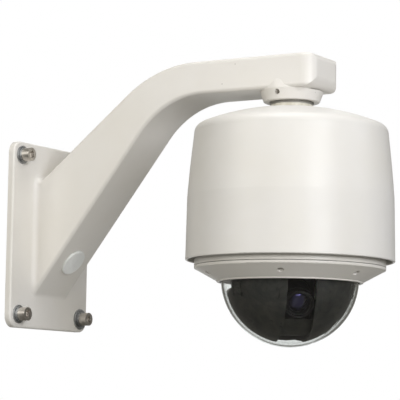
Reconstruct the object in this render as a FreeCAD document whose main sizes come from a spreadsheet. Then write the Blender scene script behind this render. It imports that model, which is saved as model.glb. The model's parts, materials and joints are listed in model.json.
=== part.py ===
"""Pendant pan-tilt-zoom camera on a cast wall arm, as separate pieces in millimetres.

The origin is the centre of the wall plate's back face. +X runs out from the wall
along the arm and +Z is up. Lengths live in the "dims" spreadsheet.
"""
import FreeCAD, Part
import math
import os
import Sketcher

V = FreeCAD.Vector
doc = FreeCAD.newDocument("pendant_camera")
sheet = doc.addObject("Spreadsheet::Sheet", "dims")

DIMENSIONS = {
    # wall plate
    "plate_width": 160, "plate_height": 222, "plate_thick": 8, "plate_corner": 14,
    "plate_edge_round": 2.5, "bolt_pitch_across": 128, "bolt_pitch_up": 190,
    "bolt_hole_radius": 5.5, "root_fillet": 7,
    # cast arm: its two sloping lines are given by where they meet the wall and their slope
    "arm_width": 70, "arm_wall": 5, "arm_top": 195.3, "arm_bottom": 157, "nose_end": 382,
    "top_root": 54.7, "top_slope": 38.55, "bottom_root": -80.8, "bottom_slope": 51.8,
    "top_bend": 150, "bottom_bend": 105, "arm_edge_round": 4, "nose_round": 14,
    "nose_toe": 13, "nose_brow": 8,
    # collar under the nose, on the dome's axis
    "dome_reach": 338, "collar_bottom": 144.4, "collar_radius": 31.8, "collar_root_radius": 36.6,
    "collar_fade_radius": 34.6, "collar_fade": 13, "collar_mouth_radius": 25.6,
    "set_screw_height": 152.5, "set_screw_radius": 3, "set_screw_length": 4.5,
    # wall bolts
    "bolt_radius": 5, "bolt_waist": 4.7, "bolt_length": 20, "bolt_head_radius": 8,
    "bolt_head_height": 10, "hex_socket": 4.6, "washer_radius": 10.8, "big_washer_radius": 12.5,
    "washer_thick": 2, "lock_washer_radius": 9.05, "lock_washer_thick": 2.5,
    # plug in the underside of the arm
    "plug_along": 48, "plug_radius": 17, "plug_rim": 3, "plug_hole_radius": 13,
    # threaded neck
    "neck_radius": 24.13, "neck_bore": 19, "neck_top": 176, "neck_flange_radius": 36,
    "neck_flange_thick": 4, "neck_screw_ring": 30,
    # sun shroud
    "rim_height": -37, "rim_radius": 118.4, "drum_mid_radius": 117.2, "drum_mid_height": 35,
    "shoulder_height": 107.6, "shoulder_radius": 110.4, "cap_radius": 103, "cap_edge": 118.6,
    "crown_height": 137.2, "shroud_wall": 2.5, "drum_bulge": 1600, "crown_bulge": 268,
    "shoulder_round": 11.4, "standoff_ring": 70,
    # inner housing
    "cup_radius": 101, "cup_wall": 3, "cup_top": 109, "flange_radius": 108.3,
    "flange_bottom": -42.7, "flange_top": -36, "flange_bore": 84,
    # trim ring and bubble
    "ring_top": -43.3, "cone_radius": 106.5, "cone_top": -47, "lip_radius": 83,
    "lip_top": -59.8, "lip_bottom": -61.2, "ring_bore": 79.3, "shelf": -52.3,
    "shelf_radius": 91, "trim_screw_ring": 95, "trim_screw_seat": -46.3,
    "trim_recess_radius": 3.8,
    "ball_height": -56, "bubble_radius": 78.1, "bubble_wall": 2.4, "bubble_flange": 90,
    # turning parts
    "pan_rest": -50.5, "tilt_rest": 30, "liner_radius": 73, "liner_wall": 1.8,
    "liner_top": -8, "slot_half": 16, "slot_top": -36, "slot_end": -22, "slot_end_half": 11,
    "slot_shoulder": -12,
    # opening in one side of the liner, from its near edge to its far edge
    "side_near": 23, "side_far": -46, "side_top": 20, "side_drop_near": 12.8,
    "side_drop_far": 22,
    "liner_screw_ring": 61, "hub_screw_ring": 26,
    "chassis_bottom": 24, "chassis_thick": 3, "chassis_radius": 94, "chassis_post_ring": 86,
    "board_spacer_ring": 64,
    "board_height": 62, "board_radius": 70, "board_thick": 1.6, "power_board_height": 90,
    "fan_reach": 62, "fan_half": 20, "fan_hole_offset": 16, "fan_bottom": 32, "fan_top": 43,
    "pan_motor_half": 17.5, "pan_motor_hole_offset": 13, "tilt_motor_hole_offset": 9,
    "pan_module": 1, "pan_gear_teeth": 90, "pan_pinion_teeth": 18, "pan_gear_bottom": -5,
    "pan_gear_thick": 6, "pinion_bearing": 179.5,
    "tilt_module": 0.8, "tilt_gear_teeth": 60, "tilt_pinion_teeth": 18, "backlash": 0.15,
    "bearing_bore": 15, "bearing_outside": 21, "bearing_bottom": 14, "bearing_width": 7,
    "ball_radius": 1.9, "yoke_plate": 3, "yoke_arm_inside": 37, "yoke_arm_thick": 3,
    "pin_radius": 3, "fit_gap": 0.05,
    # camera block, about the tilt axis
    "camera_back": -30, "camera_front": 33, "camera_half_width": 22, "camera_half_height": 23,
    "barrel_radius": 16.5, "barrel_front": 64, "lens_radius": 12.5, "lens_curve": 18,
    # bracket round it: two cheeks, and a chin that closes the liner's slot below the lens
    "cheek_gap": 0.3, "cheek_thick": 2, "cheek_half_length": 16, "cheek_half_height": 14,
    "chin_radius": 65.5, "chin_step": 1, "chin_wall": 1.5, "chin_start": 16.5,
    "chin_ledge": 30, "chin_end": 58, "chin_window_radius": 11, "chin_window_reach": 40,
}
for row, (alias, value) in enumerate(DIMENSIONS.items(), start=1):
    sheet.set(f"A{row}", alias)
    sheet.set(f"B{row}", str(value))
    sheet.setAlias(f"B{row}", alias)
doc.recompute()

# socket-head screws by use: head radius, head height, shank radius, length, socket
SCREWS = {
    "neck": ("3.5", "4", "1.9", "8", "1.7"),
    "shroud": ("3.5", "3.5", "1.8", "11", "1.6"),
    "trim": ("3.3", "2", "1.8", "9", "1.6"),
    "chassis": ("3.2", "3", "1.6", "9", "1.5"),
    "fan": ("2.8", "2.5", "1.5", "19", "1.3"),
    "pan_motor": ("2.7", "2.5", "1.35", "7.5", "1.2"),
    "pan_hub": ("3", "2.5", "1.5", "11", "1.4"),
    "liner": ("2.6", "2", "1.3", "4.2", "1.2"),
    "tilt_motor": ("1.9", "1.6", "0.9", "7", "0.9"),
}
TRIM_SCREW_ANGLES = (-133.6, -67.7, -11.8)
NODES = []


def number(expression):
    """The value of an expression over the sheet."""
    return float(sheet.evalExpression(str(expression)))


def bind(thing, **sizes):
    """Binds properties of an object to expressions over the sheet."""
    for name, expression in sizes.items():
        thing.setExpression(name, str(expression))


def frame(name):
    """Placement of one of the four frames that the pieces are drawn in."""
    reach, ball = number("dims.dome_reach"), number("dims.ball_height")
    yaw, pitch = number("dims.pan_rest"), number("dims.tilt_rest")
    return {
        "wall": FreeCAD.Placement(),
        "dome": FreeCAD.Placement(V(reach, 0, 0), FreeCAD.Rotation()),
        "pan": FreeCAD.Placement(V(reach, 0, 0), FreeCAD.Rotation(yaw, 0, 0)),
        "tilt": FreeCAD.Placement(V(reach, 0, ball), FreeCAD.Rotation(yaw, pitch, 0)),
    }[name]


def node(thing, label, where="wall"):
    """Makes an object a named piece and sets it in its frame."""
    thing.Label = label
    for axis in "xyz":
        thing.setExpression("Placement.Base." + axis, None)
    thing.Placement = frame(where).multiply(thing.Placement)
    NODES.append(thing)
    return thing


# ---------------------------------------------------------------- PartDesign helpers

def new_body(name):
    return doc.addObject("PartDesign::Body", name)


def attach(sketch, body, role, lift="0"):
    plane = next(item for item in body.Origin.OriginFeatures if item.Role == role)
    sketch.AttachmentSupport = (plane, [""])
    sketch.MapMode = "FlatFace"
    sketch.setExpression("AttachmentOffset.Base.z", lift)


def fix_point(sketch, geometry, end, across, up):
    """Pins one end of a sketch edge to coordinates given as expressions."""
    for kind, axis, expression in (("DistanceX", -2, across), ("DistanceY", -1, up)):
        value = number(expression)
        if abs(value) < 1e-9:
            sketch.addConstraint(Sketcher.Constraint("PointOnObject", geometry, end, axis))
            continue
        index = sketch.addConstraint(
            Sketcher.Constraint(kind, -1, 1, geometry, end, value))
        sketch.setExpression(f"Constraints[{index}]", str(expression))


def arc_through(start, finish, radius, side):
    """Arc from start to finish with its centre on the left (side 1) or right (side -1)."""
    middle = (start + finish) * 0.5
    chord = finish - start
    left = V(-chord.y, chord.x, 0).normalize()
    rise = math.sqrt(max(radius ** 2 - (chord.Length / 2) ** 2, 0))
    centre = middle + left * (rise * side)
    first, last = (start, finish) if side > 0 else (finish, start)
    angles = [math.atan2(point.y - centre.y, point.x - centre.x) for point in (first, last)]
    return Part.ArcOfCircle(Part.Circle(centre, V(0, 0, 1), radius), *angles)


def outline(body, role, corners, lift="0"):
    """Closed sketch. A corner is (across, up), or (across, up, radius, side) to start an arc."""
    sketch = body.newObject("Sketcher::SketchObject", body.Name + "_outline")
    attach(sketch, body, role, lift)
    points = [V(number(corner[0]), number(corner[1]), 0) for corner in corners]
    ends = []
    for index, corner in enumerate(corners):
        start, finish = points[index], points[(index + 1) % len(points)]
        if len(corner) == 4:
            sketch.addGeometry(arc_through(start, finish, number(corner[2]), corner[3]))
            ends.append((1, 2) if corner[3] > 0 else (2, 1))
        else:
            sketch.addGeometry(Part.LineSegment(start, finish))
            ends.append((1, 2))
    for index, corner in enumerate(corners):
        following = (index + 1) % len(corners)
        sketch.addConstraint(Sketcher.Constraint(
            "Coincident", index, ends[index][1], following, ends[following][0]))
        fix_point(sketch, index, ends[index][0], corner[0], corner[1])
        if len(corner) == 4:
            place = sketch.addConstraint(
                Sketcher.Constraint("Radius", index, number(corner[2])))
            sketch.setExpression(f"Constraints[{place}]", str(corner[2]))
    return sketch


def circles(body, role, rounds, lift="0"):
    """Sketch of circles, each (across, up, radius)."""
    sketch = body.newObject("Sketcher::SketchObject", body.Name + "_circles")
    attach(sketch, body, role, lift)
    for index, (across, up, radius) in enumerate(rounds):
        centre = V(number(across), number(up), 0)
        sketch.addGeometry(Part.Circle(centre, V(0, 0, 1), number(radius)))
        fix_point(sketch, index, 3, across, up)
        place = sketch.addConstraint(
            Sketcher.Constraint("Radius", index, number(radius)))
        sketch.setExpression(f"Constraints[{place}]", str(radius))
    return sketch


def pad(body, sketch, length, side="One side"):
    feature = body.newObject("PartDesign::Pad", body.Name + "_pad")
    feature.Profile = sketch
    feature.SideType = side
    bind(feature, Length=length)
    return feature


def pocket(body, sketch, length, side="One side", reverse=False):
    """Cuts a sketch out of the body, and stops if it removes nothing."""
    doc.recompute()
    before = body.Shape.Volume
    feature = body.newObject("PartDesign::Pocket", body.Name + "_pocket")
    feature.Profile = sketch
    feature.SideType = side
    feature.Reversed = reverse
    bind(feature, Length=length)
    doc.recompute()
    if feature.Shape.Volume > before - 0.01:
        raise RuntimeError(body.Name + ": a pocket cuts nothing")
    return feature


def revolve(body, corners):
    """Turns an outline in the XZ plane round the Z axis."""
    feature = body.newObject("PartDesign::Revolution", body.Name + "_turn")
    feature.Profile = outline(body, "XZ_Plane", corners)
    feature.ReferenceAxis = (feature.Profile[0], ["V_Axis"])
    feature.Angle = 360
    return feature


def primitive(body, kind, place=(0, 0, 0), turn=(0, 0, 0), **sizes):
    """Additive or subtractive primitive; turn is yaw, pitch, roll in degrees."""
    doc.recompute()
    feature = body.newObject("PartDesign::" + kind, body.Name + "_" + kind.lower())
    turned = FreeCAD.Rotation(*turn)
    feature.Placement = FreeCAD.Placement(V(*[number(item) for item in place]), turned)
    for axis, item in zip("xyz", place):
        feature.setExpression("Placement.Base." + axis, str(item))
    bind(feature, **sizes)
    return feature


def round_edges(body, radius, wanted):
    """Fillets the edges of the body's last feature for which wanted(edge) is true."""
    doc.recompute()
    base = body.Tip
    names = [f"Edge{place}" for place, edge in enumerate(base.Shape.Edges, start=1)
             if wanted(edge)]
    if not names:
        raise RuntimeError(body.Name + ": no edge to round")
    feature = body.newObject("PartDesign::Fillet", body.Name + "_fillet")
    feature.Base = (base, names)
    bind(feature, Radius=radius)
    doc.recompute()
    return feature


def turned(name, corners, where="dome"):
    """A piece that is one revolved outline."""
    body = new_body(name)
    revolve(body, corners)
    return node(body, name, where)


def is_circle(edge, radius, height):
    """True for a level circle of this radius at this height."""
    return (isinstance(edge.Curve, Part.Circle) and abs(edge.Curve.Radius - radius) < 0.01
            and abs(edge.BoundBox.ZMax - height) < 0.01 and edge.BoundBox.ZLength < 0.01)


# ---------------------------------------------------------------- Part helpers

def solid(kind, place=(0, 0, 0), turn=(0, 0, 0), **sizes):
    """A Part primitive with its sizes bound to the sheet."""
    thing = doc.addObject("Part::" + kind, kind.lower())
    thing.Placement = FreeCAD.Placement(V(*[number(item) for item in place]),
                                        FreeCAD.Rotation(*turn))
    for axis, item in zip("xyz", place):
        thing.setExpression("Placement.Base." + axis, str(item))
    bind(thing, **sizes)
    return thing


def block(low, high):
    """Box between two corners."""
    sizes = [f"({top}) - ({bottom})" for bottom, top in zip(low, high)]
    return solid("Box", low, Length=sizes[0], Width=sizes[1], Height=sizes[2])


def rod(radius, bottom, top, across="0", along="0"):
    """Upright cylinder between two heights."""
    return solid("Cylinder", (across, along, bottom), Radius=radius,
                 Height=f"({top}) - ({bottom})")


def cut(base, *tools):
    """Base with each tool taken away."""
    for tool in tools:
        result = doc.addObject("Part::Cut", "cut")
        result.Base, result.Tool = base, tool
        base = result
    return base


def fuse(*things):
    result = doc.addObject("Part::MultiFuse", "fuse")
    result.Shapes = list(things)
    return result


def group(label, things, where="wall"):
    """Several separate solids that share one node."""
    result = doc.addObject("Part::Compound", label)
    result.Links = things
    return node(result, label, where)


def moved(thing, x, y, z, yaw=0, pitch=0, roll=0):
    """Sets an object down at a point, turned."""
    thing.Placement = FreeCAD.Placement(V(x, y, z), FreeCAD.Rotation(yaw, pitch, roll))
    return thing


def around(count, radius, first=0):
    """Points evenly spaced on a circle, as (x, y, angle)."""
    size = number(radius)
    for step in range(count):
        angle = first + step * 360 / count
        yield (size * math.cos(math.radians(angle)), size * math.sin(math.radians(angle)), angle)


def cap_screw(head_radius, head_height, shank_radius, length, socket):
    """Socket-head screw along Z, its head above Z = 0 and its shank below."""
    head = rod(head_radius, "0", head_height)
    shank = rod(shank_radius, f"-({length})", "0.5")
    recess = solid("Prism", (0, 0, f"0.45 * ({head_height})"), Polygon=6,
                   Circumradius=socket, Height=head_height)
    return cut(fuse(head, shank), recess)


def spur_gear(name, teeth, module, thickness, openings=()):
    """Spur gear from Z = 0 upwards with involute flanks, one tooth centred on the X axis.

    Openings are round holes through it, each (x, y, radius).
    """
    pitch, pressure = teeth * module / 2, math.radians(20)
    base, tip, root = pitch * math.cos(pressure), pitch + module, pitch - 1.25 * module
    start = max(base, root)

    def unwound(radius):
        angle = math.acos(min(base / radius, 1))
        return math.tan(angle) - angle

    half = math.pi / (2 * teeth) - number("dims.backlash") / (4 * pitch) + unwound(pitch)
    radii = [start + (tip - start) * step / 3 for step in range(4)]
    flank = [(root, half - unwound(start))] if root < start else []
    flank += [(radius, half - unwound(radius)) for radius in radii]
    points = []
    for tooth in range(teeth):
        centre = 2 * math.pi * tooth / teeth
        points += [(radius, centre - angle) for radius, angle in flank]
        points += [(radius, centre + angle) for radius, angle in reversed(flank)]
    corners = [V(radius * math.cos(angle), radius * math.sin(angle), 0)
               for radius, angle in points]
    wires = [Part.makePolygon(corners + corners[:1])]
    wires += [Part.Wire(Part.makeCircle(radius, V(x, y, 0))) for x, y, radius in openings]
    gear = doc.addObject("Part::Feature", name)
    gear.Shape = Part.makeFace(wires, "Part::FaceMakerBullseye").extrude(V(0, 0, thickness))
    return gear


# ---------------------------------------------------------------- wall arm and its fasteners

def arm_outline(wall, start):
    """Side view of the arm with its two bends, drawn in by a wall thickness."""
    top, bottom = f"(dims.arm_top - ({wall}))", f"(dims.arm_bottom + ({wall}))"
    top_line = f"(dims.top_root - ({wall}) / cos(dims.top_slope))"
    bottom_line = f"(dims.bottom_root + ({wall}) / cos(dims.bottom_slope))"
    top_corner = f"(({top} - {top_line}) / tan(dims.top_slope))"
    bottom_corner = f"(({bottom} - {bottom_line}) / tan(dims.bottom_slope))"
    top_radius, bottom_radius = f"(dims.top_bend - ({wall}))", f"(dims.bottom_bend + ({wall}))"
    top_run = f"({top_radius} * tan(dims.top_slope / 2))"
    bottom_run = f"({bottom_radius} * tan(dims.bottom_slope / 2))"
    return [
        (start, f"{top_line} + ({start}) * tan(dims.top_slope)"),
        (start, f"{bottom_line} + ({start}) * tan(dims.bottom_slope)"),
        (f"{bottom_corner} - {bottom_run} * cos(dims.bottom_slope)",
         f"{bottom} - {bottom_run} * sin(dims.bottom_slope)", bottom_radius, -1),
        (f"{bottom_corner} + {bottom_run}", bottom),
        (f"dims.nose_end - ({wall})", bottom),
        (f"dims.nose_end - ({wall})", top),
        (f"{top_corner} + {top_run}", top, top_radius, 1),
        (f"{top_corner} - {top_run} * cos(dims.top_slope)",
         f"{top} - {top_run} * sin(dims.top_slope)"),
    ]


def make_wall_arm():
    """Hollow cast arm, one piece with its wall plate and the collar under its nose."""
    body = new_body("wall_arm")
    half_width = number("dims.arm_width") / 2
    thick, nose = number("dims.plate_thick"), number("dims.nose_end")
    reach = number("dims.dome_reach")

    half_across, half_up = number("dims.plate_width") / 2, number("dims.plate_height") / 2
    plate = outline(body, "YZ_Plane", [
        ("-dims.plate_width / 2", "-dims.plate_height / 2"),
        ("dims.plate_width / 2", "-dims.plate_height / 2"),
        ("dims.plate_width / 2", "dims.plate_height / 2"),
        ("-dims.plate_width / 2", "dims.plate_height / 2")])
    pad(body, plate, "dims.plate_thick")

    def plate_corner(edge):
        box = edge.BoundBox
        return (abs(box.XLength - thick) < 0.01 and abs(abs(box.YMin) - half_across) < 0.01
                and abs(abs(box.ZMin) - half_up) < 0.01)

    round_edges(body, "dims.plate_corner", plate_corner)
    round_edges(body, "dims.plate_edge_round", lambda edge: edge.BoundBox.XMin > thick - 0.01)

    pad(body, outline(body, "XZ_Plane", arm_outline("0", "2")), "dims.arm_width", "Symmetric")

    def nose_corner(edge):
        box = edge.BoundBox
        return box.XMin > nose - 0.01 and box.ZLength > 10

    round_edges(body, "dims.nose_round", nose_corner)

    def long_edge(edge):
        box = edge.BoundBox
        on_side = box.YLength < 0.01 and abs(abs(box.YMin) - half_width) < 0.01
        return (on_side and box.XLength > 5) or (box.XMin > nose - 15 and box.ZLength < 0.01)

    round_edges(body, "dims.arm_edge_round", long_edge)

    def root_edge(edge):
        box = edge.BoundBox
        return (box.XLength < 0.01 and abs(box.XMin - thick) < 0.01
                and abs(box.YMin) < half_width + 1 and abs(box.YMax) < half_width + 1
                and abs(box.ZMin) < half_up - 20)

    round_edges(body, "dims.root_fillet", root_edge)
    primitive(body, "AdditiveCone", ("dims.dome_reach", "0", "dims.collar_bottom"),
              Radius1="dims.collar_radius", Radius2="dims.collar_root_radius",
              Height="dims.arm_bottom - dims.collar_bottom")
    primitive(body, "AdditiveCone", ("dims.dome_reach", "0", "dims.arm_bottom"),
              Radius1="dims.collar_root_radius", Radius2="dims.collar_fade_radius",
              Height="dims.collar_fade")
    for corner, way, radius in (("dims.arm_bottom", 1, "dims.nose_toe"),
                                ("dims.arm_top", -1, "dims.nose_brow")):
        waste = outline(body, "XZ_Plane", [
            ("dims.nose_end + 1", f"{corner} - {way}"),
            ("dims.nose_end + 1", f"{corner} + {way} * {radius}"),
            ("dims.nose_end", f"{corner} + {way} * {radius}", radius, -way),
            (f"dims.nose_end - {radius}", corner),
            (f"dims.nose_end - {radius}", f"{corner} - {way}")])
        pocket(body, waste, "dims.arm_width + 2", "Symmetric")

    pocket(body, outline(body, "XZ_Plane", arm_outline("dims.arm_wall", "-1")),
           "dims.arm_width - 2 * dims.arm_wall", "Symmetric")
    primitive(body, "AdditiveCylinder", ("dims.dome_reach", "0", "dims.arm_bottom + 1"),
              Radius="dims.neck_radius + 5.5", Height="16")
    primitive(body, "SubtractiveCylinder", ("dims.dome_reach", "0", "dims.collar_bottom - 1"),
              Radius="dims.neck_radius + dims.fit_gap", Height="40")
    primitive(body, "SubtractiveCylinder", ("dims.dome_reach", "0", "dims.collar_bottom - 1"),
              Radius="dims.collar_mouth_radius", Height="4")
    primitive(body, "SubtractiveCylinder",
              ("dims.dome_reach", "-dims.collar_root_radius - 5", "dims.set_screw_height"),
              (0, 0, -90), Radius="dims.set_screw_radius", Height="20")
    slope = number("dims.bottom_slope")
    primitive(body, "SubtractiveCylinder", plug_seat(15), (0, 90 + 90 - slope, 0),
              Radius="dims.plug_hole_radius", Height="30")

    rounds = [(f"{side} * dims.bolt_pitch_across / 2", f"{level} * dims.bolt_pitch_up / 2",
               "dims.bolt_hole_radius") for side in (-1, 1) for level in (-1, 1)]
    pocket(body, circles(body, "YZ_Plane", rounds, "-1"), "dims.plate_thick + 2", reverse=True)

    def mouth_edge(edge):
        return (is_circle(edge, number("dims.collar_radius"), number("dims.collar_bottom"))
                and abs(edge.Curve.Center.x - reach) < 0.01)

    round_edges(body, "1.5", mouth_edge)
    node(body, "wall_arm")


def plug_seat(depth):
    """Point on the plug's axis, a depth in from the arm's underside, as expressions."""
    along = "dims.plug_along"
    x = f"{along} * cos(dims.bottom_slope) + 10.8 - ({depth}) * sin(dims.bottom_slope)"
    z = (f"dims.bottom_root + 10.8 * tan(dims.bottom_slope) + {along} * sin(dims.bottom_slope)"
         f" + ({depth}) * cos(dims.bottom_slope)")
    return x, "0", z


def make_wall_bolts():
    """Four socket-head screws through the plate, each on a lock washer and a flat washer."""
    bolts, flats, locks = [], [], []
    face = number("dims.plate_thick")
    flat, lock = number("dims.washer_thick"), number("dims.lock_washer_thick")
    for side in (-1, 1):
        for level in (-1, 1):
            y = side * number("dims.bolt_pitch_across") / 2
            z = level * number("dims.bolt_pitch_up") / 2
            seat = face + flat + lock
            screw = cap_screw("dims.bolt_head_radius", "dims.bolt_head_height",
                              "dims.bolt_waist", "dims.bolt_length", "dims.hex_socket")
            thread = rod("dims.bolt_radius", "-dims.bolt_length", str(-seat))
            bolts.append(moved(fuse(screw, thread), seat, y, z, pitch=90))
            larger = side > 0 and level < 0
            radius = "dims.big_washer_radius" if larger else "dims.washer_radius"
            washer = cut(rod(radius, "0", "dims.washer_thick"),
                         rod("dims.bolt_radius + 0.25", "-1", "dims.washer_thick + 1"))
            flats.append(moved(washer, face, y, z, pitch=90))
            split = block(("0", "-0.6", "-1"), ("20", "0.6", "dims.lock_washer_thick + 1"))
            spring = cut(rod("dims.lock_washer_radius", "0", "dims.lock_washer_thick"),
                         rod("dims.bolt_radius + 0.1", "-1", "dims.lock_washer_thick + 1"),
                         split)
            turn = FreeCAD.Rotation(V(0, 0, 1), 40 * side)
            spring.Placement = FreeCAD.Placement(
                V(face + flat, y, z), FreeCAD.Rotation(V(0, 1, 0), 90).multiply(turn))
            locks.append(spring)
    group("wall_bolts", bolts)
    group("flat_washers", flats)
    group("lock_washers", locks)


def make_plug():
    """Round cap that closes the cable hole in the arm's underside."""
    body = new_body("arm_cable_plug")
    revolve(body, [("0", "-5"), ("dims.plug_hole_radius - 0.2", "-5"),
                   ("dims.plug_hole_radius - 0.2", "0"), ("dims.plug_radius", "0"),
                   ("dims.plug_radius", "dims.plug_rim"), ("0", "dims.plug_rim")])
    round_edges(body, "1.6", lambda edge: is_circle(edge, number("dims.plug_radius"),
                                                    number("dims.plug_rim")))
    x, y, z = (number(item) for item in plug_seat(0))
    body.Placement = FreeCAD.Placement(
        V(x, y, z), FreeCAD.Rotation(0, 180 - number("dims.bottom_slope"), 0))
    node(body, "arm_cable_plug")


def make_set_screw():
    """Headless screw in the collar's side that locks the neck."""
    screw = cut(rod("dims.set_screw_radius - 0.05", "0", "dims.set_screw_length"),
                solid("Prism", (0, 0, "dims.set_screw_length / 2"), Polygon=6,
                      Circumradius="1.75", Height=4))
    moved(screw, number("dims.dome_reach"), -number("dims.neck_radius") - 0.3,
          number("dims.set_screw_height"), roll=90)
    node(screw, "collar_set_screw")


# ---------------------------------------------------------------- neck, shroud and housing

def make_neck():
    """Pipe-threaded neck with a flange that bolts to the inner housing."""
    body = new_body("threaded_neck")
    foot = "dims.cup_top + 1"
    revolve(body, [("dims.neck_bore", foot), ("dims.neck_flange_radius", foot),
                   ("dims.neck_flange_radius", f"{foot} + dims.neck_flange_thick"),
                   ("dims.neck_radius", f"{foot} + dims.neck_flange_thick"),
                   ("dims.neck_radius", "dims.neck_top"), ("dims.neck_bore", "dims.neck_top")])
    doc.recompute()
    rounds = [(str(x), str(y), "2.2") for x, y, _ in around(4, "dims.neck_screw_ring", 45)]
    pocket(body, circles(body, "XY_Plane", rounds, "dims.cup_top - 1"), "10", reverse=True)
    node(body, "threaded_neck", "dome")
    gasket = new_body("neck_gasket")
    revolve(gasket, [("dims.neck_bore", "dims.cup_top"),
                     ("dims.neck_flange_radius", "dims.cup_top"),
                     ("dims.neck_flange_radius", "dims.cup_top + 1"),
                     ("dims.neck_bore", "dims.cup_top + 1")])
    pocket(gasket, circles(gasket, "XY_Plane", rounds, "dims.cup_top - 1"), "3", reverse=True)
    node(gasket, "neck_gasket", "dome")
    seat = number("dims.cup_top + 1 + dims.neck_flange_thick")
    screws = [moved(cap_screw(*SCREWS["neck"]), x, y, seat)
              for x, y, _ in around(4, "dims.neck_screw_ring", 45)]
    group("neck_screws", screws, "dome")


def make_sun_shroud():
    """Outer drum skin: open at the bottom, softly domed on top, with a hole for the neck."""
    body = new_body("sun_shroud")
    wall = "dims.shroud_wall"
    bulge, dome = "dims.drum_bulge", "dims.crown_bulge"
    revolve(body, [
        ("dims.neck_radius + 0.3", "dims.crown_height"),
        ("dims.neck_radius + 0.3", f"dims.crown_height - {wall}", f"{dome} - {wall}", -1),
        (f"dims.cap_radius - {wall} * 0.4", f"dims.cap_edge - {wall}"),
        (f"dims.shoulder_radius - {wall}", f"dims.shoulder_height - {wall} * 0.4"),
        (f"dims.drum_mid_radius - {wall}", "dims.drum_mid_height"),
        (f"dims.rim_radius - {wall}", "dims.rim_height"),
        ("dims.rim_radius", "dims.rim_height"),
        ("dims.drum_mid_radius", "dims.drum_mid_height", bulge, 1),
        ("dims.shoulder_radius", "dims.shoulder_height", "dims.shoulder_round", 1),
        ("dims.cap_radius", "dims.cap_edge", dome, 1),
    ])
    round_edges(body, "1.2", lambda edge: is_circle(
        edge, number("dims.rim_radius"), number("dims.rim_height")))
    round_edges(body, "0.9", lambda edge: is_circle(
        edge, number(f"dims.rim_radius - {wall}"), number("dims.rim_height")))
    node(body, "sun_shroud", "dome")


def make_shroud_mounting():
    """Three standoffs between the inner housing and the shroud, and their screws."""
    top = number("dims.crown_height") - 12.3
    bottom = "dims.cup_top"
    posts = [cut(rod("5", bottom, str(top), str(x), str(y)),
                 rod("1.9", "dims.cup_top - 1", "dims.cup_top + 11", str(x), str(y)))
             for x, y, _ in around(3, "dims.standoff_ring", 90)]
    group("shroud_standoffs", posts, "dome")
    under = number("dims.cup_top - dims.cup_wall")
    screws = [moved(cap_screw(*SCREWS["shroud"]), x, y, under, roll=180)
              for x, y, _ in around(3, "dims.standoff_ring", 90)]
    group("shroud_screws", screws, "dome")


def trim_screw_places():
    """Centres of the six trim screws: three on each side, a little unevenly spaced."""
    for half in (0, 180):
        for angle in TRIM_SCREW_ANGLES:
            turn = math.radians(half + angle)
            radius = number("dims.trim_screw_ring")
            yield radius * math.cos(turn), radius * math.sin(turn)


def make_inner_housing():
    """Deep cup that holds the works, with the flange that the trim ring seals against."""
    body = new_body("inner_housing")
    inside = "dims.cup_radius - dims.cup_wall"
    revolve(body, [
        ("dims.flange_bore", "dims.flange_bottom"), ("dims.flange_radius", "dims.flange_bottom"),
        ("dims.flange_radius", "dims.flange_top"), ("dims.cup_radius", "dims.flange_top"),
        ("dims.cup_radius", "dims.cup_top"), ("dims.neck_bore", "dims.cup_top"),
        ("dims.neck_bore", "dims.cup_top - dims.cup_wall"),
        (inside, "dims.cup_top - dims.cup_wall"), (inside, "dims.flange_top"),
        ("dims.flange_bore", "dims.flange_top")])
    round_edges(body, "3", lambda edge: is_circle(
        edge, number("dims.cup_radius"), number("dims.cup_top")))
    round_edges(body, "0.8", lambda edge: is_circle(
        edge, number("dims.flange_radius"), number("dims.flange_bottom")))
    roof = [(str(x), str(y), "1.95") for x, y, _ in around(4, "dims.neck_screw_ring", 45)]
    roof += [(str(x), str(y), "1.95") for x, y, _ in around(3, "dims.standoff_ring", 90)]
    roof += [(str(x), str(y), "1.7") for x, y, _ in around(4, "dims.chassis_post_ring", 45)]
    pocket(body, circles(body, "XY_Plane", roof, "dims.cup_top - dims.cup_wall - 1"),
           "dims.cup_wall + 2", reverse=True)
    holes = [(str(x), str(y), "1.85") for x, y in trim_screw_places()]
    pocket(body, circles(body, "XY_Plane", holes, "dims.flange_bottom - 1"), "9", reverse=True)
    node(body, "inner_housing", "dome")


def make_trim_ring():
    """Conical ring that clamps the bubble up to the housing, its seal and its six screws."""
    body = new_body("trim_ring")
    revolve(body, [
        ("dims.flange_radius", "dims.ring_top"), ("dims.shelf_radius", "dims.ring_top"),
        ("dims.shelf_radius", "dims.shelf"), ("dims.ring_bore", "dims.shelf"),
        ("dims.ring_bore", "dims.lip_bottom"), ("dims.lip_radius", "dims.lip_bottom"),
        ("dims.lip_radius", "dims.lip_top"), ("dims.cone_radius", "dims.cone_top"),
        ("dims.flange_radius", "dims.cone_top")])
    round_edges(body, "1.75", lambda edge: is_circle(
        edge, number("dims.flange_radius"), number("dims.cone_top")))
    round_edges(body, "1.2", lambda edge: is_circle(
        edge, number("dims.lip_radius"), number("dims.lip_bottom")))
    for radius, bottom, height in (("dims.trim_recess_radius", "dims.lip_bottom - 4",
                                    "dims.trim_screw_seat - dims.lip_bottom + 4"),
                                   ("1.95", "dims.trim_screw_seat - 1", "8")):
        rounds = [(str(x), str(y), radius) for x, y in trim_screw_places()]
        pocket(body, circles(body, "XY_Plane", rounds, bottom), height, reverse=True)
    node(body, "trim_ring", "dome")

    turned("trim_gasket", [
        ("dims.trim_screw_ring + 3.5", "dims.ring_top"), ("dims.flange_radius - 0.9",
                                                          "dims.ring_top"),
        ("dims.flange_radius - 0.9", "dims.flange_bottom"),
        ("dims.trim_screw_ring + 3.5", "dims.flange_bottom")])
    screws = [moved(cap_screw(*SCREWS["trim"]), x, y,
                    number("dims.trim_screw_seat"), roll=180) for x, y in trim_screw_places()]
    group("trim_screws", screws, "dome")


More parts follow.
